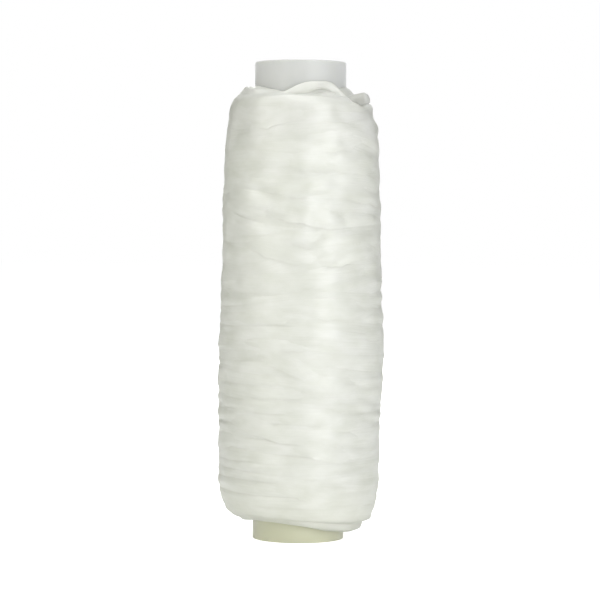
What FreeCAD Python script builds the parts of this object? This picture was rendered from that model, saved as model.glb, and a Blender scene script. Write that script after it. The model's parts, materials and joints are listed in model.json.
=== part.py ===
"""Thread spool: a plain plastic tube, and the long elastic thread wound on it.

The frame has its origin at the centre of the tube's foot, with +Z up the tube's axis. The photographed
side faces -Y, with +X to its right. All sizes are in millimetres.

The thread is built as two nodes. The inner winding is its packed lower layers, one plain barrel with a
bore. The outer turns are its top layer, one unbroken strand that winds round the barrel from the foot to
the head. It slips down the tube at the foot, climbs it at the head and ends in a short loose tail.
"""

import FreeCAD, Part
import math
import os

V = FreeCAD.Vector

# Core tube
TUBE_LENGTH = 60.0
TUBE_OUTER_DIAMETER = 11.5
TUBE_WALL = 1.0
FOOT_ROUND = 0.15
HEAD_CHAMFER = 0.1

# Inner winding: its distance from each end of the tube, and its build-up over the tube from foot to head
FOOT_MARGIN = 3.9
FOOT_BUILD = 0.95
LOWER_SHOULDER_RISE = 1.3
LOWER_SHOULDER_BUILD = 2.2
BELLY_HEIGHT = 25.0
BELLY_BUILD = 2.95
WAIST_DROP = 8.0
WAIST_BUILD = 2.45
UPPER_SHOULDER_DROP = 0.75
UPPER_SHOULDER_BUILD = 1.35
HEAD_MARGIN = 4.8
HEAD_BUILD = 0.6
WINDING_ROUND = 0.4
WINDING_CLEARANCE = 0.02

# Outer turns: one strand laid on the inner winding. Angles are in degrees round the tube from +X
STRAND_DIAMETER = 1.6
STRAND_CLEARANCE = 0.1
TURN_GAP = 0.62
START_ANGLE = 130.0
TAIL_ANGLE = -40.0
TAIL_LENGTH = 4.0

# Unevenness of the turns: each leans over, the lean creeps round from turn to turn, and the pitch wanders
TURN_LEAN = 0.22
LEAN_CREEP = 0.125
TURN_WANDER = 0.08
WANDER_RATE = 0.16
STEADY_FIRST_TURN = 360.0
STEADY_LAST_TURNS = 720.0

# The first turn slips down the tube, and the last turn spreads, climbs the tube and lifts its tail
SLIP_DROP = 0.8
SLIP_ANGLE = -25.0
SLIP_REACH = 200.0
CLIMB_RISE = 0.8
CLIMB_ANGLE = -75.0
CLIMB_REACH = 80.0
LAST_TURN_SPREAD = 0.3
LAST_TURN_REACH = 450.0
TAIL_LIFT = 0.2
TAIL_REACH = 90.0

# Fineness: the step along the outline, and the step in degrees that gives the strand's heading
OUTLINE_STEP = 0.05
HEADING_STEP = 2.0
QUARTER_TURN = 90.0
LARGEST_SETBACK = 0.45

TUBE_RADIUS = TUBE_OUTER_DIAMETER / 2
STRAND_RADIUS = STRAND_DIAMETER / 2


def make_core_tube():
    """The moulded tube: a straight bore, a rounded outer edge at the foot and a chamfered one at the head."""
    outside = Part.makeCylinder(TUBE_RADIUS, TUBE_LENGTH)
    outside = outside.makeFillet(FOOT_ROUND, [rim(outside, 0)])
    outside = outside.makeChamfer(HEAD_CHAMFER, [rim(outside, TUBE_LENGTH)])
    bore = Part.makeCylinder(TUBE_RADIUS - TUBE_WALL, TUBE_LENGTH)
    return outside.cut(bore)


def rim(solid, height):
    """The round edge of a solid that lies at the given height."""
    return next(e for e in solid.Edges if e.BoundBox.ZLength < 0.01 and abs(e.BoundBox.ZMin - height) < 0.01)


def arc(start, corner, end):
    """The arc from start to end whose tangents there meet at corner, which is as far from both."""
    middle = (start + end) / 2
    rise = corner - middle
    half_turn = math.atan2(rise.Length, (end - start).Length / 2)
    crown = middle + rise * (math.tan(half_turn / 2) / math.tan(half_turn))
    return Part.Arc(start, crown, end).toShape()


def winding_corners(lift):
    """The corners of the winding's outline in the XZ plane, foot to head, moved out square to it by lift."""
    head = TUBE_LENGTH - HEAD_MARGIN
    bare = TUBE_RADIUS + WINDING_CLEARANCE
    corners = [
        V(bare, 0, FOOT_MARGIN),
        V(TUBE_RADIUS + FOOT_BUILD, 0, FOOT_MARGIN),
        V(TUBE_RADIUS + LOWER_SHOULDER_BUILD, 0, FOOT_MARGIN + LOWER_SHOULDER_RISE),
        V(TUBE_RADIUS + BELLY_BUILD, 0, BELLY_HEIGHT),
        V(TUBE_RADIUS + WAIST_BUILD, 0, head - WAIST_DROP),
        V(TUBE_RADIUS + UPPER_SHOULDER_BUILD, 0, head - UPPER_SHOULDER_DROP),
        V(TUBE_RADIUS + HEAD_BUILD, 0, head),
        V(bare, 0, head),
    ]
    ways = [(b - a).normalize() for a, b in zip(corners, corners[1:])]
    outward = [V(way.z, 0, -way.x) for way in ways]
    before = [outward[0]] + outward
    after = outward + [outward[-1]]
    return [c + (a + b) * (lift / (1 + a.dot(b))) for c, a, b in zip(corners, before, after)]


def winding_outline(lift):
    """The winding's rounded outline, moved out by lift, as lines and arcs in one wire."""
    corners = winding_corners(lift)
    edges = []
    reached = corners[0]
    for before, corner, after in zip(corners, corners[1:], corners[2:]):
        way_in = (corner - before).normalize()
        way_out = (after - corner).normalize()
        setback = (WINDING_ROUND + lift) * math.tan(way_in.getAngle(way_out) / 2)
        setback = min(setback, LARGEST_SETBACK * min((corner - before).Length, (after - corner).Length))
        leave = corner - way_in * setback
        meet = corner + way_out * setback
        edges += [Part.makeLine(reached, leave), arc(leave, corner, meet)]
        reached = meet
    edges.append(Part.makeLine(reached, corners[-1]))
    return Part.Wire(edges)


def make_inner_winding():
    """The packed lower layers: the outline closed along the tube and turned round the tube's axis."""
    outline = winding_outline(0)
    corners = winding_corners(0)
    section = Part.Face(Part.Wire(outline.Edges + [Part.makeLine(corners[-1], corners[0])]))
    return section.revolve(V(0, 0, 0), V(0, 0, 1), 360)


def hump(angle, centre, reach):
    """A smooth hump, 1 at centre and 0 from reach away."""
    away = abs(angle - centre) / reach
    return (1 + math.cos(math.pi * away)) / 2 if away < 1 else 0.0


def climb(to_go, reach):
    """A steepening climb, 0 until reach is left to go and 1 at the end."""
    return max(0.0, 1 - to_go / reach) ** 2


class Strand:
    """The centreline of the outer turns, as a function of the angle wound from its start."""

    def __init__(self):
        lift = STRAND_CLEARANCE + STRAND_RADIUS
        outline = winding_outline(lift).discretize(Distance=OUTLINE_STEP)
        self.places = [p for p in outline if p.x >= TUBE_RADIUS + lift]
        self.length = (len(self.places) - 1) * OUTLINE_STEP
        self.even_length = self.length - LAST_TURN_SPREAD
        turns = int(self.even_length / (STRAND_DIAMETER + TURN_GAP))
        self.end_angle = turns * 360 - (START_ANGLE - TAIL_ANGLE) % 360

    def place(self, along):
        """The centreline's radius and height, along millimetres up the winding's outline."""
        steps = min(max(along / OUTLINE_STEP, 0.0), len(self.places) - 2)
        low = int(steps)
        point = self.places[low] + (self.places[low + 1] - self.places[low]) * (steps - low)
        return point.x, point.z

    def unevenness(self, angle):
        """How far the strand lies up the outline from where an even winding would put it."""
        lean = TURN_LEAN * math.sin(math.radians(angle * (1 + LEAN_CREEP)))
        wander = TURN_WANDER * math.sin(math.radians(angle * WANDER_RATE))
        steadiness = min(1.0, angle / STEADY_FIRST_TURN, (self.end_angle - angle) / STEADY_LAST_TURNS)
        return steadiness * (lean + wander)

    def point(self, angle):
        """The centreline's point after winding through angle."""
        to_end = self.end_angle - angle
        along = self.even_length * angle / self.end_angle
        along += LAST_TURN_SPREAD * climb(to_end, LAST_TURN_REACH)
        radius, height = self.place(along + self.unevenness(angle))
        height -= SLIP_DROP * hump(angle, (SLIP_ANGLE - START_ANGLE) % 360, SLIP_REACH)
        height += CLIMB_RISE * hump(to_end, TAIL_ANGLE - CLIMB_ANGLE, CLIMB_REACH)
        height += TAIL_LIFT * climb(to_end, TAIL_REACH)
        turn = math.radians(START_ANGLE + angle)
        return V(radius * math.cos(turn), radius * math.sin(turn), height)

    def heading(self, angle):
        """The unit vector along the centreline after winding through angle."""
        low = max(0.0, angle - HEADING_STEP)
        high = min(self.end_angle, angle + HEADING_STEP)
        return (self.point(high) - self.point(low)).normalize()


def biarc(start, start_way, end, end_way):
    """Two arcs that leave start along start_way, meet smoothly, and reach end along end_way."""
    chord = end - start
    ways = start_way + end_way
    spread = 2 * (1 - start_way.dot(end_way))
    reach = (math.sqrt(chord.dot(ways) ** 2 + spread * chord.dot(chord)) - chord.dot(ways)) / spread
    first_corner = start + start_way * reach
    last_corner = end - end_way * reach
    joint = (first_corner + last_corner) / 2
    return [arc(start, first_corner, joint), arc(joint, last_corner, end)]


def strand_path(strand):
    """The strand's centreline: a straight start, biarcs of a quarter turn, and the straight tail."""
    quarters = math.ceil(strand.end_angle / QUARTER_TURN)
    angles = [strand.end_angle * k / quarters for k in range(quarters + 1)]
    points = [strand.point(a) for a in angles]
    ways = [strand.heading(a) for a in angles]
    edges = [Part.makeLine(points[0] - ways[0] * STRAND_DIAMETER, points[0])]
    for k in range(quarters):
        edges += biarc(points[k], ways[k], points[k + 1], ways[k + 1])
    edges.append(Part.makeLine(points[-1], points[-1] + ways[-1] * TAIL_LENGTH))
    return Part.Wire(edges)


def make_outer_turns(path):
    """The strand: one round section swept along the whole path."""
    start = path.Edges[0].valueAt(path.Edges[0].FirstParameter)
    way = path.Edges[0].tangentAt(path.Edges[0].FirstParameter)
    section = Part.Wire(Part.Circle(start, way, STRAND_RADIUS).toShape())
    return path.makePipeShell([section], True, False)


def least_gap(path):
    """The least gap between the strand and itself, measured on points along its centreline."""
    step = STRAND_RADIUS / 3
    points = path.discretize(Distance=step)
    apart = math.ceil(math.pi * TUBE_RADIUS / step)
    pairs = ((a, b) for i, a in enumerate(points) for b in points[i + apart:i + 5 * apart])
    return min(a.distanceToPoint(b) for a, b in pairs) - STRAND_DIAMETER


def main():
    strand = Strand()
    path = strand_path(strand)
    nodes = {
        "core_tube": make_core_tube(),
        "inner_winding": make_inner_winding(),
        "outer_turns": make_outer_turns(path),
    }
    os.makedirs("parts", exist_ok=True)
    for name, shape in nodes.items():
        shape.exportStep(os.path.join("parts", name + ".step"))
        box = shape.BoundBox
        print(f"{name}: {len(shape.Solids)} solid, valid {shape.isValid()}, {shape.Volume:.1f} mm3,"
              f" height {box.ZMin:.2f} to {box.ZMax:.2f}, width {box.XMin:.2f} to {box.XMax:.2f}")
    swept = math.pi * STRAND_RADIUS ** 2 * path.Length
    print(f"strand: {strand.end_angle / 360:.2f} turns, {path.Length:.0f} mm long, section times length"
          f" {swept:.1f} mm3, least gap to itself {least_gap(path):.2f} mm")


main()
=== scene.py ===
"""A slim plastic tube wound with pale, glossy elastic thread, standing on a pale floor.

The thread is laid as a winder lays it. The package is a height over the winding's outline, and each flat
strand lies on what is already there and adds its own thickness. Lengths in the functions are in
millimetres and angles in radians. Angle 0 is the right of the photographed side and -90 degrees its middle.
"""

import json
import math

import bpy
import numpy as np
from mathutils import Matrix, Vector

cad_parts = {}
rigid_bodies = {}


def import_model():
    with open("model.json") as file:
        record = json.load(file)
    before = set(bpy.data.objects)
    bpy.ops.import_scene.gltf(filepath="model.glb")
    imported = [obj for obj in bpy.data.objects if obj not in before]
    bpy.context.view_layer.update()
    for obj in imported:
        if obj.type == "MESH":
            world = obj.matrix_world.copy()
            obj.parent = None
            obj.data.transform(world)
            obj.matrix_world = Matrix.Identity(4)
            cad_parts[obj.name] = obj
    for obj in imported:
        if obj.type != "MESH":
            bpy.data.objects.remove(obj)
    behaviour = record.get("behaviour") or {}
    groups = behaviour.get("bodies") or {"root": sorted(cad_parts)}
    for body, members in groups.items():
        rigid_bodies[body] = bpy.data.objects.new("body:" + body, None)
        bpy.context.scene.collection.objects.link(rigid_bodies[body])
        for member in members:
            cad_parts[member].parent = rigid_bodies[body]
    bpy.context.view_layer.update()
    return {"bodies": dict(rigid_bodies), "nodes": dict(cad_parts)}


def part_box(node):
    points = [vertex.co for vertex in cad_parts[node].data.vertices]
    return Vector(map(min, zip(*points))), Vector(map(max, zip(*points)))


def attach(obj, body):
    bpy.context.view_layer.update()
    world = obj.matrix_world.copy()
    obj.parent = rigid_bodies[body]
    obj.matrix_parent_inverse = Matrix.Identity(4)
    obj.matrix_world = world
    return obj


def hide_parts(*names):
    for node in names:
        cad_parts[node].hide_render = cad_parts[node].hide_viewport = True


MM = 0.001
TURN = 2 * math.pi

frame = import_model()
body = next(iter(frame["bodies"]))

tube_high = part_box("core_tube")[1]
TUBE_RADIUS = tube_high.x / MM

# The winding's outline from foot to head: radius and height at each corner, on its left side and on its right
OUTLINE = [
    (TUBE_RADIUS, 3.15, TUBE_RADIUS, 1.45),
    (6.9, 2.1, 6.8, 1.1),
    (7.5, 2.4, 8.05, 1.5),
    (8.4, 2.85, 8.3, 2.4),
    (9.05, 3.6, 9.25, 2.5),
    (9.8, 4.9, 9.95, 4.7),
    (10.2, 7.2, 10.3, 7.0),
    (10.2, 15.0, 10.35, 15.0),
    (10.25, 24.5, 10.8, 23.5),
    (9.9, 33.0, 10.4, 34.0),
    (9.7, 45.0, 10.1, 45.5),
    (9.6, 49.2, 10.05, 49.2),
    (9.3, 52.0, 9.75, 52.0),
    (8.85, 54.4, 9.25, 54.4),
    (8.4, 55.4, 8.3, 54.9),
    (7.0, 57.0, 6.7, 56.1),
    (TUBE_RADIUS, 57.2, TUBE_RADIUS, 57.1),
]

# How far the outline's corners are rounded, the share of each side that this may take, the points of each
# rounded corner, and the step along the outline
OUTLINE_ROUND = 0.8
ROUNDING_ROOM = 0.48
ROUNDING_POINTS = 12
OUTLINE_STEP = 0.1

# How far the winding's edge at the head dips and its edge at the foot rises on the photographed side, the
# angle where each is deepest, and how far from the winding's end each is full and is gone
HEAD_DIP = 0.95
DIP_AT = math.radians(-90)
DIP_REACH = (0.8, 4.2)
FOOT_RISE = 0.75
RISE_AT = math.radians(-115)
RISE_REACH = (2.0, 5.0)

# Where along the outline the calm lower half turns into the livelier upper half
UPPER_HALF = (27, 36)

# The package's surface: its cells round the tube, the blur that gives its broad level, how deep that level
# lies under the outline, how far a strand can stand out of it, and how far the thread tucks into the tube
CELLS_ROUND = 720
LEVEL_BLUR = 1.1
LEVEL_DEPTH = 0.1
RELIEF_LIMIT = 0.22
TUCK = 0.05

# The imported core: its depth under the outline, its sides round the tube, its points along the outline, and
# one in how many of the outline's own points it follows
CORE_DEPTH = 1.1
CORE_SIDES = 96
CORE_POINTS = 120
CORE_THINNING = 4

# Soft swellings of the winding: angle in degrees, height, reach round and along, and how far they stand out.
# They fade out towards the winding's ends.
SWELLS = [
    (-82, 55.5, 4.2, 0.8, 0.5),
    (-126, 51.2, 2.0, 1.5, 0.22),
    (-142, 50.5, 1.5, 2.0, -0.20),
    (-103, 53.0, 1.3, 0.9, -0.14),
    (-43, 47.8, 2.0, 1.8, 0.22),
    (-87, 43.2, 2.2, 2.2, 0.24),
    (-135, 43.3, 2.0, 1.9, 0.22),
    (-62, 39.8, 1.8, 1.2, -0.16),
    (-42, 35.6, 1.9, 1.9, 0.26),
    (-122, 35.4, 2.4, 1.8, 0.22),
    (-141, 33.0, 1.4, 1.2, -0.16),
    (-96, 31.0, 2.6, 1.2, -0.12),
    (-74, 26.3, 2.6, 1.0, 0.14),
    (-112, 24.7, 2.4, 0.9, 0.12),
    (-70, 19.9, 2.4, 0.8, 0.16),
    (-76, 10.0, 2.6, 1.6, 0.18),
    (-108, 9.0, 2.4, 1.6, 0.14),
    (-94, 5.2, 2.4, 1.0, -0.12),
    (-73, 4.2, 1.3, 0.5, 0.16),
]
SWELLS_FULL_FROM = 3.0

# Random pillows with creases between them in the lower and the upper half: their sizes round and along, and
# how far they stand out. Their mean is taken off, as a share of how far they stand out.
LOWER_PILLOWS = (3.4, 0.5, 0.065)
UPPER_PILLOWS = (1.4, 0.75, 0.12)
PILLOW_MEAN = 0.8

# How much of the strands' relief shows in the lower half, as a share of the upper half's
LOWER_RELIEF = 0.8

# Where the winding lies calm and even: angle in degrees, height, reach round and along, and how calm
CALM = [
    (178, 49.0, 5.0, 4.5, 0.85),
    (185, 35.0, 4.0, 3.5, 0.6),
    (0, 47.0, 3.0, 3.0, 0.5),
    (-105, 2.8, 5.0, 1.2, 0.7),
    (-85, 54.6, 5.0, 1.3, 0.7),
]

# Steps of a strand in each turn, and how steeply a taut strand can drop along and across itself
STEPS_PER_TURN = 144
DROP_ALONG = 0.12
DROP_ACROSS = 0.35

# A strand's section: its places from rim to rim, those that its underside uses, and the rims' share of its
# thickness where it lies taut and where it spreads. A higher flatness gives a flatter top.
ACROSS = np.linspace(-1, 1, 9)
UNDER = [6, 4, 2]
RIM = 0.14
SOFT_RIM = 0.06
FLATNESS = 3.0

# A fold's section: its upper and its lower rim's share of its thickness, and where it is full
FOLD_RIM = 0.03
FOLD_LIP = 0.4
FOLD_FULL = (-0.4, -0.3)

# How far a strand's ends sink, how high its filaments ripple, and how far its underside reaches into what it
# lies on
SINK = 0.14
RIPPLE = 0.008
UNDERLAP = 0.01

# The map of a strand's surface: its name, and how much of it is a millimetre along the strand
THREAD_MAP = "Thread"
MAP_PER_MM = 0.1


def smooth_step(x, low, high):
    """A smooth rise from 0 at low to 1 at high."""
    t = np.clip((x - low) / (high - low), 0, 1)
    return t * t * (3 - 2 * t)


def columns_at(places, known, table):
    """Each column of a table, read at places between the known ones."""
    return np.stack([np.interp(places, known, table[:, k]) for k in range(table.shape[1])], axis=1)


def travelled_along(points):
    """How far along a line each of its points lies."""
    return np.r_[0, np.cumsum(np.linalg.norm(np.diff(points, axis=0), axis=1))]


def rounded(corners, radius, count):
    """Evenly spaced points along a line through corners, with its corners rounded."""
    corners = [np.array(c, float) for c in corners]
    points = [corners[0]]
    for before, corner, after in zip(corners, corners[1:], corners[2:]):
        way_in = (corner - before) / np.linalg.norm(corner - before)
        way_out = (after - corner) / np.linalg.norm(after - corner)
        turn = math.acos(max(-1.0, min(1.0, way_in @ way_out)))
        room = ROUNDING_ROOM * min(np.linalg.norm(corner - before), np.linalg.norm(after - corner))
        setback = min(radius * math.tan(turn / 2), room)
        leave, meet = corner - way_in * setback, corner + way_out * setback
        for t in np.linspace(0, 1, ROUNDING_POINTS):
            points.append((1 - t) ** 2 * leave + 2 * t * (1 - t) * corner + t ** 2 * meet)
    points.append(corners[-1])
    points = np.array(points)
    lengths = travelled_along(points)
    return columns_at(np.linspace(0, lengths[-1], count), lengths, points)


def outward_of(outline):
    """Unit vectors that point out of an outline at each of its points."""
    ways = np.gradient(outline, axis=0)
    ways /= np.linalg.norm(ways, axis=1)[:, None]
    return np.stack([ways[:, 1], -ways[:, 0]], axis=1)


def read_grid(grid, i, j):
    """The grid's values between its cells. Its first axis goes round, and its second has two ends."""
    round_count = grid.shape[0]
    i = i % round_count
    j = np.clip(j, 0, grid.shape[1] - 1.001)
    i0, j0 = i.astype(int) % round_count, j.astype(int)
    i1, j1 = (i0 + 1) % round_count, j0 + 1
    fi, fj = i - np.floor(i), j - j0
    return ((grid[i0, j0] * (1 - fi) + grid[i1, j0] * fi) * (1 - fj)
            + (grid[i0, j1] * (1 - fi) + grid[i1, j1] * fi) * fj)


def bell(width):
    """A bell curve's weights, for blurring."""
    x = np.arange(-int(3 * width), int(3 * width) + 1)
    weights = np.exp(-0.5 * (x / width) ** 2)
    return weights / weights.sum()


def blurred(grid, cells_round, cells_along):
    """The grid blurred by a bell curve, round its first axis and along its second."""
    around, along = bell(cells_round), bell(cells_along)
    reach = len(around) // 2
    wrapped = np.concatenate([grid[-reach:], grid, grid[:reach]])
    grid = np.apply_along_axis(lambda line: np.convolve(line, around, "valid"), 0, wrapped)
    reach = len(along) // 2
    padded = np.pad(grid, ((0, 0), (reach, reach)), "edge")
    return np.apply_along_axis(lambda line: np.convolve(line, along, "valid"), 1, padded)


class Package:
    """The wound package: an outline turned round the tube, and the height of what is laid on it."""

    def __init__(self):
        rough = np.linalg.norm(np.diff(np.array(OUTLINE)[:, :2], axis=0), axis=1).sum()
        count = int(rough / OUTLINE_STEP) + 1
        both = rounded(OUTLINE, OUTLINE_ROUND, count)
        self.left, self.right = both[:, :2], both[:, 2:]
        self.middle = (self.left + self.right) / 2
        self.left_out, self.right_out = outward_of(self.left), outward_of(self.right)
        self.length = np.linalg.norm(np.diff(self.middle, axis=0), axis=1).sum()
        self.step = self.length / (count - 1)
        self.height = np.zeros((CELLS_ROUND, count))
        # The broad level of what is laid, the swells and how lively the surface is, which settle() works out
        self.level = None
        self.swell = None
        self.stir = None

    def radius(self, s):
        """The outline's radius at places along it."""
        return np.interp(s / self.step, np.arange(len(self.middle)), self.middle[:, 0])

    def along(self, z):
        """The place along the outline at a height between its foot and its head."""
        lip, head = np.argmin(self.middle[:, 1]), np.argmax(self.middle[:, 1])
        return np.interp(z, self.middle[lip:head, 1], np.arange(lip, head) * self.step)

    def read(self, grid, angle, s):
        """A grid's values at places round and along the outline."""
        return read_grid(grid, angle / TURN * CELLS_ROUND, s / self.step)

    def sample(self, angle, s):
        """The height of what is laid at places round and along the outline."""
        return self.read(self.height, angle, s)

    def place(self, angle, s, height):
        """Points in space for places round and along the outline and heights over it."""
        at = np.clip(s / self.step, 0, len(self.middle) - 1)
        cells = np.arange(len(self.middle))
        rightness = (1 + np.cos(angle)) / 2
        r, z, out_r, out_z = (
            np.interp(at, cells, a[:, k]) * (1 - rightness) + np.interp(at, cells, b[:, k]) * rightness
            for a, b in ((self.left, self.right), (self.left_out, self.right_out)) for k in range(2))
        level = self.read(self.level, angle, s)
        h = RELIEF_LIMIT * np.tanh((height - level) / RELIEF_LIMIT)
        h = h * self.read(self.stir, angle, s) - LEVEL_DEPTH
        h = h + self.read(self.swell, angle, s)
        z = z + self.front_shift(angle, s)
        radius = np.maximum(r + out_r * h, TUBE_RADIUS - TUCK)
        return np.stack([radius * np.cos(angle), radius * np.sin(angle), z + out_z * h], axis=-1)

    def front_shift(self, angle, s):
        """How far the winding's edges at the foot and the head shift up on the photographed side."""
        dip = HEAD_DIP * (1 - smooth_step(self.length - s, *DIP_REACH))
        rise = FOOT_RISE * (1 - smooth_step(s, *RISE_REACH))
        near_dip = np.clip(np.cos(angle - DIP_AT), 0, 1) ** 2
        near_rise = np.clip(np.cos(angle - RISE_AT), 0, 1) ** 2
        return rise * near_rise - dip * near_dip

    def add(self, angle, s, height):
        """Raises the package to height wherever it is lower."""
        inside = (s >= 0) & (s <= self.length)
        i = np.round(angle[inside] / TURN * CELLS_ROUND).astype(int) % CELLS_ROUND
        j = np.round(s[inside] / self.step).astype(int)
        np.maximum.at(self.height, (i, j), height[inside])

    def mound(self, angle, z, around, along):
        """A grid with a soft mound, 1 high, at an angle and a height."""
        place = self.along(z)
        angles = np.arange(CELLS_ROUND) / CELLS_ROUND * TURN - math.radians(angle)
        away = np.angle(np.exp(1j * angles)) * self.radius(place) / around
        apart = (np.arange(len(self.middle)) * self.step - place) / along
        return np.exp(-0.5 * (away[:, None] ** 2 + apart[None, :] ** 2))

    def settle(self, rng):
        """Fixes the broad level of what is laid, which place() takes off, and the winding's swells."""
        cell = TURN * self.middle[:, 0].max() / CELLS_ROUND
        self.level = blurred(self.height, LEVEL_BLUR / cell, LEVEL_BLUR / self.step)
        s = np.arange(len(self.middle)) * self.step
        upper = smooth_step(s, *UPPER_HALF)
        self.swell = np.zeros_like(self.height)
        for share, (around, along, out) in ((1 - upper, LOWER_PILLOWS), (upper, UPPER_PILLOWS)):
            noise = blurred(rng.normal(size=self.height.shape), around / cell, along / self.step)
            self.swell += share * out * (np.abs(noise) / noise.std() - PILLOW_MEAN)
        self.stir = np.ones_like(self.height) * (LOWER_RELIEF + (1 - LOWER_RELIEF) * upper)
        for angle, z, around, along, calm in CALM:
            self.stir *= 1 - calm * self.mound(angle, z, around, along)
        self.swell *= self.stir
        for angle, z, around, along, out in SWELLS:
            self.swell += out * self.mound(angle, z, around, along)
        self.swell *= smooth_step(s, 0, SWELLS_FULL_FROM) * smooth_step(self.length - s, 0, SWELLS_FULL_FROM)


def bridge(heights, steps, drop, axis):
    """The least surface over heights that drops no faster than drop along an axis, as something taut lies."""
    shape = [1, 1]
    shape[axis] = -1
    ramp = (drop * steps).reshape(shape)
    forward = np.maximum.accumulate(heights + ramp, axis=axis) - ramp
    backward = np.flip(np.maximum.accumulate(np.flip(heights - ramp, axis), axis=axis), axis) + ramp
    return np.maximum(forward, backward)


def softened(rows):
    """Rows of heights smoothed from each to the next."""
    soft = rows.copy()
    soft[1:-1] = (rows[:-2] + 2 * rows[1:-1] + rows[2:]) / 4
    return soft


def lens(across):
    """A flat strand's thickness across it, as a share of its thickness at the middle."""
    return RIM + (1 - RIM) * (1 - np.abs(across) ** FLATNESS)


def soft_lens(across):
    """The same for a strand that spreads, and thins out to its rims."""
    return SOFT_RIM + (1 - SOFT_RIM) * (1 - across ** 2)


def fold_lens(across):
    """The same for a fold, which stands up at its lower rim and thins out to its upper one."""
    lower, upper = FOLD_FULL
    rise = FOLD_LIP + (1 - FOLD_LIP) * smooth_step(across, -1, lower)
    fall = 1 - smooth_step(across, upper, 1)
    return FOLD_RIM + rise * fall * (1 - FOLD_RIM)


class Strand:
    """A flat strand on the package, from its middle line, width, thickness, section and filaments' ripple."""

    # Steps that are laid at a time, steps beside them that hold it taut, and how much finer than its own
    # steps and places it raises the package
    CHUNK = 24
    MARGIN = 20
    FINE_ALONG = 5
    FINE_ACROSS = 4

    def __init__(self, package, angle, s, width, thickness, section, ripple, sink):
        self.package = package
        self.width, self.ripple, self.sink = width, ripple, sink
        self.thickness = thickness[:, None] * section
        radius = package.radius(s)
        run_angle, run_s = np.gradient(angle) * radius, np.gradient(s)
        run = np.hypot(run_angle, run_s)
        self.travelled = np.r_[0, np.cumsum((run[1:] + run[:-1]) / 2)]
        side = ACROSS[None, :] * width[:, None] / 2
        self.angles = angle[:, None] - (run_s / run / radius)[:, None] * side
        self.places = s[:, None] + (run_angle / run)[:, None] * side
        self.lower = np.zeros(side.shape)
        self.lay()

    def lay(self):
        """Finds the underside's height along the strand, and raises the package a little way behind."""
        count = len(self.width)
        waiting = []
        for start in range(0, count, self.CHUNK):
            end = min(start + self.CHUNK, count)
            a, b = max(0, start - self.MARGIN), min(count, end + self.MARGIN)
            heights = self.package.sample(self.angles[a:b], self.places[a:b])
            heights[:start - a] = self.lower[a:start]
            heights = bridge(heights, self.travelled[a:b], DROP_ALONG, 0)
            heights = bridge(heights, ACROSS * self.width[a:b].mean() / 2, DROP_ACROSS, 1)
            self.lower[start:end] = softened(softened(heights))[start - a:end - a]
            waiting.append((start, end))
            if len(waiting) > 1:
                self.raise_package(*waiting.pop(0))
        self.raise_package(*waiting.pop())

    def top(self):
        """The height of the strand's upper side at each of its places."""
        return self.lower + self.thickness + self.ripple * lens(ACROSS)[None, :] - self.sink[:, None]

    def raise_package(self, start, end):
        """Raises the package to the strand's upper side between two of its steps."""
        end = min(end + 1, len(self.width))
        fine_rows = np.linspace(0, end - start - 1, (end - start) * self.FINE_ALONG)
        fine_columns = np.linspace(0, len(ACROSS) - 1, len(ACROSS) * self.FINE_ACROSS)
        row, column = np.meshgrid(fine_rows, fine_columns, indexing="ij")
        self.package.add(*(between(grid[start:end], row, column)
                           for grid in (self.angles, self.places, self.top())))

    def mesh(self, name):
        """A closed mesh with a ring of points at each step."""
        columns = list(range(len(ACROSS))) + UNDER
        under = self.lower[:, UNDER] - UNDERLAP - self.sink[:, None]
        heights = np.concatenate([self.top(), under], axis=1)
        points = self.package.place(self.angles[:, columns], self.places[:, columns], heights)
        return tube_of_rings(name, points, self.travelled)


def between(grid, row, column):
    """The grid's values between its rows and columns."""
    i = np.minimum(row.astype(int), grid.shape[0] - 2)
    j = np.minimum(column.astype(int), grid.shape[1] - 2)
    fi, fj = row - i, column - j
    return ((grid[i, j] * (1 - fi) + grid[i + 1, j] * fi) * (1 - fj)
            + (grid[i, j + 1] * (1 - fi) + grid[i + 1, j + 1] * fi) * fj)


def tube_of_rings(name, points, travelled):
    """A closed mesh through a strand's rings of points in millimetres, sharp along its two rims."""
    rings, sides = points.shape[:2]
    k = np.arange(rings - 1)[:, None] * sides
    c = np.arange(sides)[None, :]
    n = (c + 1) % sides
    quads = np.stack([k + c, k + n, k + sides + n, k + sides + c], axis=-1).reshape(-1, 4)
    foot = np.arange(sides)[::-1]
    head = (rings - 1) * sides + np.arange(sides)
    faces = quads.tolist() + [foot.tolist(), head.tolist()]
    mesh = bpy.data.meshes.new(name)
    mesh.from_pydata((points.reshape(-1, 3) * MM).tolist(), [], faces)
    u = np.stack([travelled[:-1], travelled[:-1], travelled[1:], travelled[1:]], axis=-1)
    u = np.repeat(u[:, None, :], sides, axis=1)
    v = np.stack([c[0], c[0] + 1, c[0] + 1, c[0]], axis=-1) / sides
    v = np.repeat(v[None, :, :], rings - 1, axis=0)
    uv = np.stack([u * MAP_PER_MM, v], axis=-1).reshape(-1, 2)
    uv = np.concatenate([uv, np.zeros((2 * sides, 2))]).ravel().astype(np.float32)
    mesh.uv_layers.new(name=THREAD_MAP).data.foreach_set("uv", uv)
    mesh.polygons.foreach_set("use_smooth", np.r_[np.ones(len(quads)), 0, 0].astype(bool))
    edges = np.zeros(len(mesh.edges) * 2, np.int32)
    mesh.edges.foreach_get("vertices", edges)
    column = edges.reshape(-1, 2) % sides
    lengthwise = column[:, 0] == column[:, 1]
    on_rim = (column[:, 0] == 0) | (column[:, 0] == len(ACROSS) - 1)
    mesh.attributes.new("sharp_edge", "BOOLEAN", "EDGE").data.foreach_set("value", lengthwise & on_rim)
    mesh.update()
    return mesh


def new_object(name, data):
    """A new object in the scene."""
    thing = bpy.data.objects.new(name, data)
    bpy.context.scene.collection.objects.link(thing)
    return thing


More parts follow.
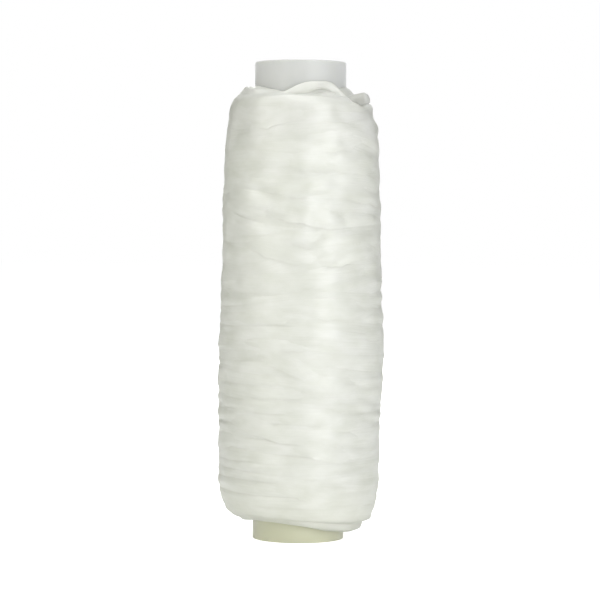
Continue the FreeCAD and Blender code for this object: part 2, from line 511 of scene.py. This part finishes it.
def add_piece(mesh, material, stands_for=()):
    """A piece of the wound thread, riding on the spool."""
    piece = new_object(mesh.name, mesh)
    mesh.materials.append(material)
    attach(piece, body)
    if stands_for:
        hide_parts(*stands_for)


# The factor that sets each rate of a random wave a little off, at its least and its most
RATE_SPREAD = (0.93, 1.07)

# Random waves: how large they are, their lowest and highest rate in each turn, and how many there are
FILAMENT_RATES = (0.6, 3.7, 5)
WIDTH_WAVES = (0.14, 0.7, 3.1, 5)
THICKNESS_WAVES = (0.15, 1.0, 4.0, 4)
LUMPS = (0.03, 6, 15, 5)
FOLD_WAVES = (0.06, 0.5, 2.0, 3)
FREE_WAVES = (0.08, 0.5, 2.5, 3)


def waves(t, rng, amplitude, low, high, count):
    """A smooth random wave over t in turns: count sines with rates from low to high per turn."""
    total = np.zeros_like(t)
    for rate in np.linspace(low, high, count):
        rate *= rng.uniform(*RATE_SPREAD)
        total += np.sin(TURN * (rate * t + rng.uniform()))
    return amplitude * total / math.sqrt(count / 2)


def filaments(t, rng, amplitude):
    """The ripple of a strand's filaments: a separate smooth wave for each place across it."""
    return np.stack([waves(t, rng, amplitude, *FILAMENT_RATES) for _ in ACROSS], axis=1)


# Passes of the thread from one end of the winding to the other: name, turns, width, thickness, first angle
PASSES = [
    ("first", 46, 1.9, 0.15, 0.3),
    ("second", 44, 1.9, 0.15, 1.1),
    ("third", 42, 2.0, 0.15, 2.2),
    ("last", 40, 2.0, 0.15, 4.0),
]
PASS_MARGIN = 0.6

# How a pass wanders: its lowest and highest rate in each turn and how many there are, how far it goes in the
# lower half, and how much further in the upper half
WANDERS = [
    (0.9, 1.15, 3, 0.22, 0.55),
    (1.5, 2.3, 3, 0.05, 0.45),
]

# How much wider a pass is in the upper half, and the part of a turn in which its ends come up
UPPER_WIDENING = 0.35
END_TURNS = 0.2


def wound_pass(package, rng, rising, turns, width, thickness, first_angle):
    """One pass of the thread along the package, unbroken, that wanders more in its upper half."""
    t = np.arange(int(turns * STEPS_PER_TURN) + 1) / STEPS_PER_TURN
    way = t / turns if rising else 1 - t / turns
    s = PASS_MARGIN + (package.length - 2 * PASS_MARGIN) * way
    upper = smooth_step(s, *UPPER_HALF)
    for low, high, count, reach, more in WANDERS:
        s = s + waves(t, rng, 1.0, low, high, count) * (reach + more * upper)
    s = np.clip(s, PASS_MARGIN, package.length - PASS_MARGIN)
    widths = width * (1 + UPPER_WIDENING * upper) * (1 + waves(t, rng, *WIDTH_WAVES))
    thick = thickness * (1 + waves(t, rng, *THICKNESS_WAVES))
    thick = thick + waves(t, rng, *LUMPS)
    ripple = filaments(t, rng, RIPPLE)
    sink = SINK * (1 - smooth_step(t, 0, END_TURNS) * smooth_step(turns - t, 0, END_TURNS))
    section = (1 - upper[:, None]) * lens(ACROSS) + upper[:, None] * soft_lens(ACROSS)
    return Strand(package, first_angle + TURN * t, s, widths, thick, section, ripple, sink)


# Folds of the thread that show on the photographed side. Each is given by its lower edge, from one angle and
# height to another, and by its width and thickness. Angles are in degrees.
FOLDS = [
    (-125, 27.2, -108, 27.3, 2.2, 0.16),
    (-75, 28.0, -52, 28.0, 2.4, 0.18),
    (-116, 24.2, -100, 24.0, 1.4, 0.20),
    (-106, 22.0, -88, 20.6, 2.2, 0.18),
    (-82, 18.8, -58, 18.7, 2.3, 0.20),
    (-118, 18.1, -101, 18.1, 1.6, 0.16),
    (-124, 16.4, -94, 16.3, 1.7, 0.20),
    (-91, 14.8, -62, 14.8, 2.2, 0.16),
    (-130, 14.1, -106, 13.0, 2.0, 0.26),
    (-100, 12.8, -62, 12.5, 2.2, 0.28),
    (-55, 14.2, -13, 14.9, 1.8, 0.16),
    (-78, 10.9, -66, 10.4, 2.2, 0.15),
    (-92, 6.1, -79, 5.4, 2.6, 0.18),
    (-97, 39.9, -71, 38.9, 2.6, 0.28),
    (-114, 35.9, -96, 34.8, 2.4, 0.26),
    (-60, 34.3, -48, 34.9, 2.2, 0.24),
    (-114, 51.4, -103, 52.0, 2.4, 0.20),
    (-84, 46.1, -73, 46.1, 3.0, 0.14),
    (-80, 48.1, -57, 48.7, 2.6, 0.15),
    (-45, 42.1, -12, 41.4, 2.2, 0.16),
    (-200, 43.7, -158, 43.7, 3.0, 0.16),
    (-205, 19.5, -160, 19.4, 2.0, 0.15),
    (-200, 17.2, -165, 17.2, 1.8, 0.16),
    (-205, 14.8, -150, 15.2, 1.6, 0.14),
    (-200, 11.2, -155, 11.6, 2.6, 0.18),
    (-28, 32.6, 15, 32.6, 2.6, 0.16),
    (-25, 27.4, 12, 27.4, 1.7, 0.14),
    (-28, 25.5, 18, 25.6, 1.6, 0.15),
    (-30, 18.5, 18, 18.5, 2.4, 0.16),
    (-56, 45.8, -34, 45.7, 2.6, 0.22),
    (-46, 53.5, -22, 54.0, 1.5, 0.22),
    (-38, 1.45, 34, 1.35, 1.4, 0.28),
]

# How far a fold runs on under the package, in degrees. How far on its edge keeps its way, and how far in it
# is full, as shares of its length. The share of its width and its thickness that it has where it is hidden.
FOLD_LEAD = 26
FOLD_RUN_ON = 0.35
FOLD_UP = 0.1
HIDDEN_WIDTH = 0.45
HIDDEN_THICKNESS = 0.3

# Folds on the sides and the back: how many, the angles and heights that they start from, how gently and how
# steeply they slope, the height from which on they slope steeply, how far round they reach, their widths
# and their thickness
BACK_FOLDS = 34
BACK_ANGLES = (15, 150)
BACK_HEIGHTS = (7, 51)
BACK_SLOPES = (0.25, 1.2)
BACK_STEEPER = 32
BACK_SPANS = (18, 45)
BACK_WIDTHS = (1.6, 2.6)
BACK_THICKNESS = (0.14, 0.26)


def fold(package, rng, start, start_z, end, end_z, width, thickness):
    """A part of a strand that comes up out of the package, shows its lower edge and goes under again."""
    lead = FOLD_LEAD / (end - start)
    count = int((end - start + 2 * FOLD_LEAD) / 360 * STEPS_PER_TURN)
    t = np.linspace(-lead, 1 + lead, count)
    inside = np.clip(t, 0, 1)
    way = inside + FOLD_RUN_ON * np.tanh((t - inside) / FOLD_RUN_ON)
    edge = package.along(start_z + (end_z - start_z) * way)
    shown = smooth_step(t, -lead, FOLD_UP) * smooth_step(1 - t, -lead, FOLD_UP)
    widths = width * (HIDDEN_WIDTH + (1 - HIDDEN_WIDTH) * shown) * (1 + waves(t, rng, *FOLD_WAVES))
    angle = np.radians(start + (end - start) * t)
    thick = thickness * (HIDDEN_THICKNESS + (1 - HIDDEN_THICKNESS) * shown)
    thick = thick + shown * waves(angle / TURN, rng, *LUMPS)
    ripple = filaments(t, rng, RIPPLE)
    sink = SINK * (1 - shown)
    return Strand(package, angle, edge + width / 2, widths, thick, fold_lens(ACROSS), ripple, sink)


def back_folds(rng):
    """Folds spread over the sides and the back, like those of the photographed side."""
    foot, head = BACK_HEIGHTS
    gentle, steep = BACK_SLOPES
    for n in range(BACK_FOLDS):
        start = rng.uniform(*BACK_ANGLES)
        z = foot + (head - foot) * (n + rng.uniform()) / BACK_FOLDS
        end_z = z + rng.normal() * (steep if z > BACK_STEEPER else gentle)
        end = start + rng.uniform(*BACK_SPANS)
        width = rng.uniform(*BACK_WIDTHS)
        yield (start, z, end, end_z, width, rng.uniform(*BACK_THICKNESS))


# Loose parts of the thread, as angles in degrees, radii, heights and widths. Each also has its thickness, how
# far its face leans down, the angle that it faces where that isn't straight out, and the length of its end
LOOP = [
    (-128, 8.0, 54.3, 0.9),
    (-115, 7.2, 55.3, 1.0),
    (-105, 6.8, 55.6, 1.1),
    (-98, 6.6, 55.85, 1.3),
    (-92, 6.45, 56.15, 1.5),
    (-85, 6.3, 56.45, 1.45),
    (-77, 6.2, 56.7, 1.2),
    (-68, 6.15, 56.85, 1.1),
    (-60, 6.1, 56.85, 1.1),
    (-53, 6.2, 56.7, 1.05),
    (-48, 6.5, 56.3, 1.0),
    (-44.5, 7.0, 55.8, 1.0),
    (-42, 7.6, 55.25, 0.9),
    (-40, 8.2, 54.5, 0.8),
]
LOOP_FORM = (0.3, -0.2, None, 0.3)
UNDER_LOOP = [
    (-98, 6.4, 55.5, 0.9),
    (-86, 6.15, 55.85, 1.0),
    (-70, 6.05, 56.0, 1.0),
    (-56, 6.05, 56.0, 1.0),
    (-47, 6.3, 55.6, 0.9),
    (-40, 6.6, 55.1, 0.7),
]
UNDER_LOOP_FORM = (0.3, -0.5, None, 0.3)
TAIL = [
    (-42, 7.0, 54.3, 1.3),
    (-37, 8.2, 54.8, 1.6),
    (-35.5, 9.3, 55.05, 1.55),
    (-35.5, 10.3, 55.3, 1.35),
]
TAIL_FORM = (0.9, 0.6, -126, 0.4)

# A loose part's fineness: the points between two of its places, and the step along it
SMOOTH_POINTS = 40
FREE_STEP = 0.15

# A loose part's body: its top's and its underside's distance from its line as shares of its thickness, what
# is left at its very end, the length that counts as a turn in its waves, and its filaments' ripple
FREE_TOP = 0.4
FREE_UNDER = 0.6
LEAST_END = 0.02
FREE_TURN = 8
FREE_RIPPLE = 3 * RIPPLE


def smooth_line(points, step):
    """Points a step apart on a smooth line through the given points, and how far along it each lies."""
    points = np.array([points[0]] + list(points) + [points[-1]], float)
    line = []
    for k in range(1, len(points) - 2):
        p0, p1, p2, p3 = points[k - 1:k + 3]
        for t in np.linspace(0, 1, SMOOTH_POINTS, endpoint=False):
            line.append(0.5 * (2 * p1 + (p2 - p0) * t + (2 * p0 - 5 * p1 + 4 * p2 - p3) * t ** 2
                               + (3 * p1 - p0 - 3 * p2 + p3) * t ** 3))
    line = np.array(line + [points[-1]])
    lengths = travelled_along(line)
    even = np.linspace(0, lengths[-1], int(lengths[-1] / step) + 1)
    return columns_at(even, lengths, line), even


def free_strand(name, rng, route, form):
    """A part of the thread that stands clear of the package, flat against it and rounded at its end."""
    thickness, lean, faces, end = form
    points = [(r * math.cos(math.radians(a)), r * math.sin(math.radians(a)), z, w) for a, r, z, w in route]
    line, travelled = smooth_line(points, FREE_STEP)
    line, width = line[:, :3], line[:, 3]
    way = np.gradient(line, axis=0)
    way /= np.linalg.norm(way, axis=1)[:, None]
    outward = line * [1, 1, 0]
    if faces is not None:
        outward = np.tile([math.cos(math.radians(faces)), math.sin(math.radians(faces)), 0], (len(line), 1))
    outward /= np.linalg.norm(outward, axis=1)[:, None]
    outward = outward - [0, 0, lean]
    side = np.cross(outward, way)
    side /= np.linalg.norm(side, axis=1)[:, None]
    outward = np.cross(way, side)
    into_end = np.clip(travelled - travelled[-1] + end, 0, None) / end
    round_end = np.sqrt(np.clip(1 - into_end ** 2, LEAST_END, 1))
    width = width * round_end * (1 + waves(travelled / FREE_TURN, rng, *FREE_WAVES))
    thick = thickness * round_end
    ripple = filaments(travelled / FREE_TURN, rng, FREE_RIPPLE)
    top = thick[:, None] * (lens(ACROSS) - FREE_TOP)[None, :] + ripple
    under = -FREE_UNDER * thick[:, None] * lens(ACROSS[UNDER])[None, :]
    columns = list(range(len(ACROSS))) + UNDER
    across = ACROSS[columns][None, :] * width[:, None] / 2
    height = np.concatenate([top, under], axis=1)
    rings = line[:, None, :] + side[:, None, :] * across[..., None] + outward[:, None, :] * height[..., None]
    return tube_of_rings(name, rings, travelled)


class Tree:
    """The nodes of a material or a world. An input is set to a value, or linked to another node's output."""

    def __init__(self, owner):
        owner.use_nodes = True
        self.nodes, self.links = owner.node_tree.nodes, owner.node_tree.links

    def fill(self, node, inputs):
        """Sets or links a node's inputs."""
        for name, value in inputs.items():
            if isinstance(value, bpy.types.NodeSocket):
                self.links.new(value, node.inputs[name])
            else:
                node.inputs[name].default_value = value
        return node

    def add(self, kind, inputs, **settings):
        """A new node with its settings and inputs."""
        node = self.nodes.new("ShaderNode" + kind)
        for name, value in settings.items():
            setattr(node, name, value)
        return self.fill(node, inputs)

    def noise(self, places, scale, detail):
        """Noise over places."""
        return self.add("TexNoise", {"Vector": places, "Scale": scale, "Detail": detail}).outputs["Fac"]

    def scaled(self, places, scale):
        """Places stretched by a scale."""
        return self.add("Mapping", {"Vector": places, "Scale": scale}).outputs["Vector"]

    def height_of(self, places):
        """How high places lie."""
        return self.add("SeparateXYZ", {"Vector": places}).outputs["Z"]

    def share(self, value, low, high):
        """How far a value is on its way from low to high."""
        return self.add("MapRange", {"Value": value, "From Min": low, "From Max": high}).outputs["Result"]

    def added(self, value, share, total):
        """A share of a value, added to a total."""
        return self.add("Math", {0: value, 1: share, 2: total}, operation="MULTIPLY_ADD").outputs["Value"]

    def ramp(self, share, stops):
        """The colour at a share, from stops that each have a share and a colour."""
        node = self.add("ValToRGB", {"Fac": share})
        elements = node.color_ramp.elements
        for n, (place, colour) in enumerate(stops):
            stop = elements[n] if n < 2 else elements.new(place)
            stop.position = place
            stop.color = colour
        return node.outputs["Color"]

    def mixed(self, blend, factor, a, b):
        """Two colours mixed by a factor."""
        inputs = {"Factor": factor, "A": a, "B": b}
        return self.add("Mix", inputs, data_type="RGBA", blend_type=blend).outputs["Result"]

    def bump(self, height, strength, distance):
        """A normal bumped by a height."""
        inputs = {"Height": height, "Strength": strength, "Distance": distance}
        return self.add("Bump", inputs).outputs["Normal"]


# The thread's colour for the tail, a darker grey that is painted shade, and where it lies thin and lies dense
TAIL_SHADE_COLOUR = (0.55, 0.555, 0.52, 1)
THIN_COLOUR = (0.715, 0.725, 0.655, 1)
DENSE_COLOUR = (0.825, 0.83, 0.785, 1)

# The thread's tint at heights along the tube, as shares of the tube's length: yellower at the foot and
# cooler at the head
TINTS = [
    (0.04, (1, 1, 0.975, 1)),
    (0.15, (1, 1, 1, 1)),
    (0.78, (1, 1, 1, 1)),
    (0.88, (0.98, 0.975, 0.985, 1)),
]

# Streaks along a strand, as their counts in 10 mm along it and round its section: filaments, yarns and bands
FINE_STREAKS = (1.6, 60, 1)
YARN_STREAKS = (2.2, 17, 1)
BANDS = (1.6, 1, 1)
STREAK_DETAIL = 3.0

# Dense clouds in the thread: their size, how much flatter than wide they are, and their detail
CLOUD_SIZE = 3.2
CLOUD_SQUEEZE = 1.9
CLOUD_DETAIL = 3.0

# What each of these adds to the thread's density, and where the sum means thin and dense
BAND_SHARE = 1.0
FINE_SHARE = 0.3
YARN_SHARE = 0.35
CLOUD_SHARE = 1.3
THIN_TO_DENSE = (1.08, 1.88)

# The bump of the thread's streaks: the yarns' share against the filaments', its strength and its height
YARN_BUMP = 1.5
THREAD_BUMP = (0.4, 0.06 * MM)

# The share of the light that passes through the thread, and the shader's values
THREAD_THROUGH = 0.3
THREAD_SHADER = {
    "Roughness": 0.38,
    "Specular IOR Level": 1.0,
    "Anisotropic": 0.7,
    "Anisotropic Rotation": 0.25,
}


def thread_material(name, thin, dense):
    """Pale elastic thread of many fine glossy filaments that run along each strand."""
    material = bpy.data.materials.new(name)
    tree = Tree(material)
    uv = tree.add("UVMap", {}, uv_map=THREAD_MAP).outputs["UV"]
    tangent = tree.add("Tangent", {}, direction_type="UV_MAP", uv_map=THREAD_MAP).outputs["Tangent"]
    place = tree.add("TexCoord", {}).outputs["Object"]
    fine, yarns, bands = (tree.noise(tree.scaled(uv, counts), 1.0, STREAK_DETAIL)
                          for counts in (FINE_STREAKS, YARN_STREAKS, BANDS))
    squeezed = tree.scaled(place, (1, 1, CLOUD_SQUEEZE))
    clouds = tree.noise(squeezed, 1 / (CLOUD_SIZE * MM), CLOUD_DETAIL)
    density = 0.0
    shares = ((bands, BAND_SHARE), (fine, FINE_SHARE), (yarns, YARN_SHARE), (clouds, CLOUD_SHARE))
    for texture, share in shares:
        density = tree.added(texture, share, density)
    colour = tree.ramp(tree.share(density, *THIN_TO_DENSE), [(0.0, thin), (1.0, dense)])
    tint = tree.ramp(tree.share(tree.height_of(place), 0.0, tube_high.z), TINTS)
    colour = tree.mixed("MULTIPLY", 1.0, colour, tint)
    normal = tree.bump(tree.added(yarns, YARN_BUMP, fine), *THREAD_BUMP)
    shader = tree.fill(tree.nodes["Principled BSDF"], THREAD_SHADER)
    tree.fill(shader, {"Base Color": colour, "Normal": normal, "Tangent": tangent})
    through = tree.add("BsdfTranslucent", {"Color": colour})
    both = {"Fac": THREAD_THROUGH, 1: shader.outputs["BSDF"], 2: through.outputs["BSDF"]}
    surface = tree.add("MixShader", both).outputs["Shader"]
    tree.fill(tree.nodes["Material Output"], {"Surface": surface})
    return material


# The tube's plastic: its colour at the foot, which is its own off-white with an olive-yellow cast that is
# painted shade and floor bounce, its colour at the head, and the heights in metres between which it turns
# from one to the other
FOOT_PLASTIC_AND_SHADE_COLOUR = (0.57, 0.575, 0.43, 1)
HEAD_COLOUR = (0.51, 0.515, 0.50, 1)
COLOUR_TURNS = (0.005, 0.055)

# Its mottling's scale and detail, and its share in the colour, its grain's scale and detail, its bump's
# strength and height, and its shader's values
MOTTLE = (140.0, 4.0)
MOTTLE_SHARE = 0.12
GRAIN = (2500.0, 2.0)
TUBE_BUMP = (0.15, 0.02 * MM)
TUBE_SHADER = {
    "Roughness": 0.42,
    "Specular IOR Level": 0.35,
    "Subsurface Weight": 0.3,
    "Subsurface Radius": (1.0, 1.0, 0.8),
    "Subsurface Scale": 0.8 * MM,
    "Sheen Weight": 1.0,
    "Sheen Roughness": 0.4,
}


def tube_material():
    """Translucent off-white moulded plastic, yellower towards the foot, where the yellow cast is painted
    shade and floor bounce.
    """
    material = bpy.data.materials.new("tube_plastic")
    tree = Tree(material)
    place = tree.add("TexCoord", {}).outputs["Object"]
    towards_head = tree.share(tree.height_of(place), *COLOUR_TURNS)
    # Painted shade: the colour takes an olive-yellow cast towards the foot, for the shade and floor bounce
    # there
    colour = tree.mixed("MIX", towards_head, FOOT_PLASTIC_AND_SHADE_COLOUR, HEAD_COLOUR)
    colour = tree.mixed("OVERLAY", MOTTLE_SHARE, colour, tree.noise(place, *MOTTLE))
    normal = tree.bump(tree.noise(place, *GRAIN), *TUBE_BUMP)
    shader = tree.fill(tree.nodes["Principled BSDF"], TUBE_SHADER)
    tree.fill(shader, {"Base Color": colour, "Normal": normal})
    return material


def revolve(name, outline_at, sides):
    """A closed surface round the tube's axis, from its outline at each angle."""
    angles = np.linspace(0, TURN, sides, endpoint=False)
    outlines = np.stack([outline_at(a) for a in angles])
    r, z = outlines[..., 0], outlines[..., 1]
    points = np.stack([r * np.cos(angles)[:, None], r * np.sin(angles)[:, None], z], axis=-1)
    count = points.shape[1]
    a = np.arange(sides)[:, None] * count
    b = (np.arange(sides)[:, None] + 1) % sides * count
    c = np.arange(count)[None, :]
    n = (c + 1) % count
    quads = np.stack([a + c, b + c, b + n, a + n], axis=-1).reshape(-1, 4)
    mesh = bpy.data.meshes.new(name)
    mesh.from_pydata((points.reshape(-1, 3) * MM).tolist(), [], quads.tolist())
    mesh.polygons.foreach_set("use_smooth", np.ones(len(quads), bool))
    mesh.uv_layers.new(name=THREAD_MAP)
    mesh.update()
    return mesh


def core_outline(package, angle):
    """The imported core's outline under the strands at an angle."""
    rightness = (1 + math.cos(angle)) / 2
    outline = package.left * (1 - rightness) + package.right * rightness
    places = np.arange(len(outline)) * package.step
    outline = outline - outward_of(outline) * CORE_DEPTH
    outline[:, 1] += package.front_shift(angle, places)
    outline = outline[(outline[:, 0] > TUBE_RADIUS)][::CORE_THINNING]
    outline = columns_at(np.linspace(0, 1, CORE_POINTS), np.linspace(0, 1, len(outline)), outline)
    foot, head = outline[0].copy(), outline[-1].copy()
    foot[0] = head[0] = TUBE_RADIUS - TUCK
    return np.concatenate([[foot], outline, [head]])


# The seed of all random draws
SEED = 11


def make_winding():
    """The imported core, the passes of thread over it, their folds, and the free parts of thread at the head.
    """
    rng = np.random.default_rng(SEED)
    package = Package()
    thread = thread_material("elastic_thread", THIN_COLOUR, DENSE_COLOUR)
    # The tail's thread is a darker grey copy of the thread: painted shade, for the shade that the tail hangs
    # in
    tail_shade = thread_material("tail_shaded_thread", TAIL_SHADE_COLOUR, TAIL_SHADE_COLOUR)
    core = revolve("wound_core", lambda angle: core_outline(package, angle), CORE_SIDES)
    add_piece(core, thread, ["inner_winding"])
    strands = []
    for n, (name, turns, width, thickness, first_angle) in enumerate(PASSES):
        strand = wound_pass(package, rng, n % 2 == 0, turns, width, thickness, first_angle)
        strands.append(("thread_%s_pass" % name, strand))
    package.settle(rng)
    for n, place in enumerate(FOLDS + list(back_folds(rng))):
        strands.append(("thread_fold_%02d" % (n + 1), fold(package, rng, *place)))
    add_piece(free_strand("thread_loop", rng, LOOP, LOOP_FORM), thread)
    add_piece(free_strand("thread_under_loop", rng, UNDER_LOOP, UNDER_LOOP_FORM), thread)
    # The tail gets the darker thread, which is painted shade
    add_piece(free_strand("thread_tail", rng, TAIL, TAIL_FORM), tail_shade)
    for name, strand in strands:
        add_piece(strand.mesh(name), thread, ["outer_turns"] if name == "thread_last_pass" else [])


# Camera, as the photograph was taken: its place and aim in metres, its roll, its lens and sensor in
# millimetres, and the nearest that it sees
CAMERA = (0.0, -0.300, 0.038)
AIM = (0.00008, 0.0, 0.0301)
ROLL = math.radians(0.35)
LENS = 142.6
SENSOR = 36
NEAREST_SEEN = 0.01


def make_camera():
    """The camera at the photograph's viewing angle."""
    data = bpy.data.cameras.new("camera")
    data.lens = LENS
    data.sensor_width = SENSOR
    data.clip_start = NEAREST_SEEN
    camera = new_object("camera", data)
    look = Vector(AIM) - Vector(CAMERA)
    rotation = look.to_track_quat("-Z", "Y").to_matrix().to_4x4()
    camera.matrix_world = Matrix.Translation(CAMERA) @ rotation @ Matrix.Rotation(ROLL, 4, "Z")
    bpy.context.scene.camera = camera


# Soft lights round the object, in metres: name, azimuth in degrees, distance, height, size, power and colour
WARM = (1.0, 1.0, 0.93)
WHITE = (1.0, 1.0, 1.0)
COOL = (0.97, 0.985, 1.0)
LIGHTS = [
    ("key", -62, 0.45, 0.08, (0.12, 0.3), 0.91, WHITE),
    ("key_right", -42, 0.45, 0.08, (0.12, 0.3), 0.42, COOL),
    ("key_high", -46, 0.38, 0.32, (0.16, 0.16), 0.42, COOL),
    ("front", -85, 0.45, 0.08, (0.10, 0.3), 0.05, WHITE),
    ("fill", -129, 0.45, 0.08, (0.14, 0.3), 0.45, WARM),
    ("side", -176, 0.45, 0.08, (0.10, 0.3), 0.1, WARM),
    ("side_high", -160, 0.38, 0.32, (0.16, 0.16), 0.58, WARM),
    ("top", -90, 0.05, 0.50, (0.4, 0.4), 1.95, COOL),
    ("back", 90, 0.45, 0.10, (0.2, 0.4), 0.8, WHITE),
]
LIGHT_AIM = (0, 0, 0.03)

# The surroundings: the light that they give, and how bright they look
SURROUND_COLOUR = (1, 1, 1, 1)
SURROUND_LIGHT = 0.0
SURROUND_SEEN = 1.0

# The floor: its half width, its own colour and roughness, its glow on the object, and how bright it looks
# near the object and further off
FLOOR_SIZE = 3.0
FLOOR_COLOUR = (0.9, 0.9, 0.9, 1)
FLOOR_ROUGHNESS = 0.9
GLOW_COLOUR = (1, 1, 1, 1)
FLOOR_GLOW = 0.25
FLOOR_SEEN = (0.86, 1.0)
FLOOR_FADE = (0.03, 0.15)


def area_light(name, azimuth, distance, height, size, power, colour):
    """A soft light that shines on the object's middle."""
    data = bpy.data.lights.new(name, "AREA")
    data.shape = "RECTANGLE"
    data.size, data.size_y = size
    data.energy = power
    data.color = colour
    a = math.radians(azimuth)
    light = new_object(name, data)
    light.location = (distance * math.cos(a), distance * math.sin(a), height)
    look = Vector(LIGHT_AIM) - light.location
    light.rotation_euler = look.to_track_quat("-Z", "Y").to_euler()


def make_world():
    """White surroundings."""
    world = bpy.data.worlds.new("world")
    bpy.context.scene.world = world
    tree = Tree(world)
    light = tree.fill(tree.nodes["Background"], {"Color": SURROUND_COLOUR, "Strength": SURROUND_LIGHT})
    seen = tree.add("Background", {"Color": SURROUND_COLOUR, "Strength": SURROUND_SEEN})
    ray = tree.add("LightPath", {}).outputs["Is Camera Ray"]
    both = {"Fac": ray, 1: light.outputs["Background"], 2: seen.outputs["Background"]}
    surface = tree.add("MixShader", both).outputs["Shader"]
    tree.fill(tree.nodes["World Output"], {"Surface": surface})


def floor_material():
    """A plain pale floor with a soft glow of its own."""
    material = bpy.data.materials.new("floor")
    tree = Tree(material)
    position = tree.add("NewGeometry", {}).outputs["Position"]
    distance = tree.add("VectorMath", {0: position}, operation="LENGTH").outputs["Value"]
    near, far = FLOOR_FADE
    near_seen, far_seen = FLOOR_SEEN
    fade = {"Value": distance, "From Min": near, "From Max": far, "To Min": near_seen, "To Max": far_seen}
    seen = tree.add("MapRange", fade).outputs["Result"]
    ray = tree.add("LightPath", {}).outputs["Is Camera Ray"]
    glow = tree.add("Mix", {"Factor": ray, "A": FLOOR_GLOW, "B": seen}).outputs["Result"]
    own = {"Base Color": FLOOR_COLOUR, "Roughness": FLOOR_ROUGHNESS}
    shader = tree.fill(tree.nodes["Principled BSDF"], own)
    tree.fill(shader, {"Emission Color": GLOW_COLOUR, "Emission Strength": glow})
    return material


def make_stage():
    """The surroundings, the lights and the floor."""
    make_world()
    for light in LIGHTS:
        area_light(*light)
    mesh = bpy.data.meshes.new("floor")
    corners = [(x * FLOOR_SIZE, y * FLOOR_SIZE, 0) for x, y in ((-1, -1), (1, -1), (1, 1), (-1, 1))]
    mesh.from_pydata(corners, [], [(0, 1, 2, 3)])
    mesh.materials.append(floor_material())
    floor = new_object("floor", mesh)
    bpy.context.scene.view_settings.view_transform = "Standard"


make_camera()
make_stage()
plastic = tube_material()
tube = frame["nodes"]["core_tube"]
for slot in tube.material_slots:
    slot.material = plastic
make_winding()
